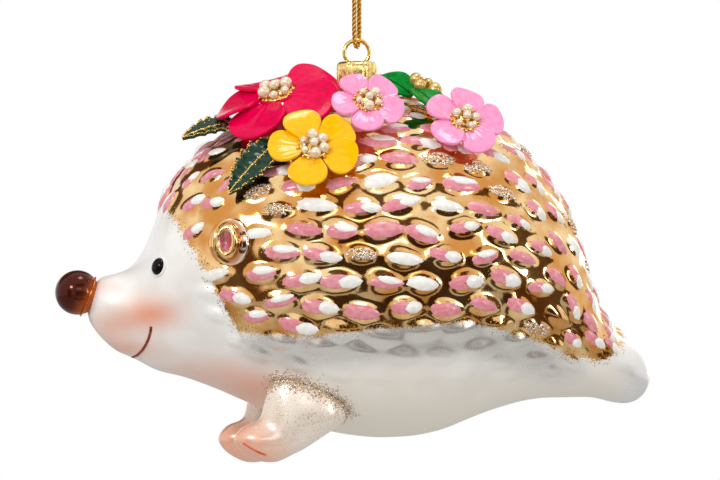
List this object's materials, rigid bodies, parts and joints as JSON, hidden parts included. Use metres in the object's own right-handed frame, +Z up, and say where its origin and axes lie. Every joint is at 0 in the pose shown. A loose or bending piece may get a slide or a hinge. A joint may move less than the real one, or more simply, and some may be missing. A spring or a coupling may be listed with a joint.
{
  "type": "hanging hedgehog ornament",
  "caption": "Hollow blown-glass hedgehog with painted quills and an enamelled flower garland, hung by a looped cord from the wire ring of a stamped cap.",
  "frame": {"origin": "hang point, between the cord's two strands where they meet the underside of the knot", "axes": "+Z up along the cord, the nose points to -X and the animal's left side to -Y"},
  "size_m": [0.1375, 0.0656, 0.1275],
  "materials": {
    "body_glass": "silvered inside, lacquered gold on the back and satin pearl on the head and belly",
    "nose_lacquer": "gloss brown lacquer",
    "eye_black": "gloss black enamel",
    "leg_glass": "satin pearl and peach lacquer with a glitter collar",
    "cap_gold": "gold plated, stamped",
    "wire_gold": "gold plated wire",
    "cord_gold": "braided metallic thread",
    "magenta_enamel": "gloss enamel",
    "yellow_enamel": "gloss enamel",
    "pink_enamel": "gloss enamel",
    "setting_gold": "gold plated, beaded",
    "pearl": "ivory imitation pearl",
    "dark_leaf": "dark green enamel with gold veins and edge",
    "bright_leaf": "gloss green enamel",
    "berry_gold": "gold imitation pearl"
  },
  "bodies": {
    "cord": {"hanging_cord": "cord_gold", "cord_knot": "cord_gold"},
    "hanger": {"hanger_cap": "cap_gold", "hanger_wire": "wire_gold"},
    "ornament": {"glass_body": "body_glass", "nose_bead": "nose_lacquer", "left_eye": "eye_black", "right_eye": "eye_black", "left_front_leg": "leg_glass", "right_front_leg": "leg_glass", "magenta_flower": "magenta_enamel", "yellow_flower": "yellow_enamel", "front_pink_flower": "pink_enamel", "rear_pink_flower": "pink_enamel", "magenta_setting": "setting_gold", "yellow_setting": "setting_gold", "front_pink_setting": "setting_gold", "rear_pink_setting": "setting_gold", "magenta_pearls": "pearl", "yellow_pearls": "pearl", "front_pink_pearls": "pearl", "rear_pink_pearls": "pearl", "upper_serrated_leaf": "dark_leaf", "lower_serrated_leaf": "dark_leaf", "long_leaf": "bright_leaf", "broad_leaf": "bright_leaf", "back_leaf": "bright_leaf", "gold_berries": "berry_gold", "garland_wire": "wire_gold"}
  },
  "joints": [
    {"name": "ornament_swing", "type": "hinge", "parent": "cord", "child": "hanger", "pos_m": [0, 0, -0.02], "axis": [1, 0, 0], "range_deg": [-70, 70]},
    {"name": "cap_pull", "type": "slide", "parent": "hanger", "child": "ornament", "axis": [0, 0, -1], "range_m": [0, 0.016]}
  ]
}
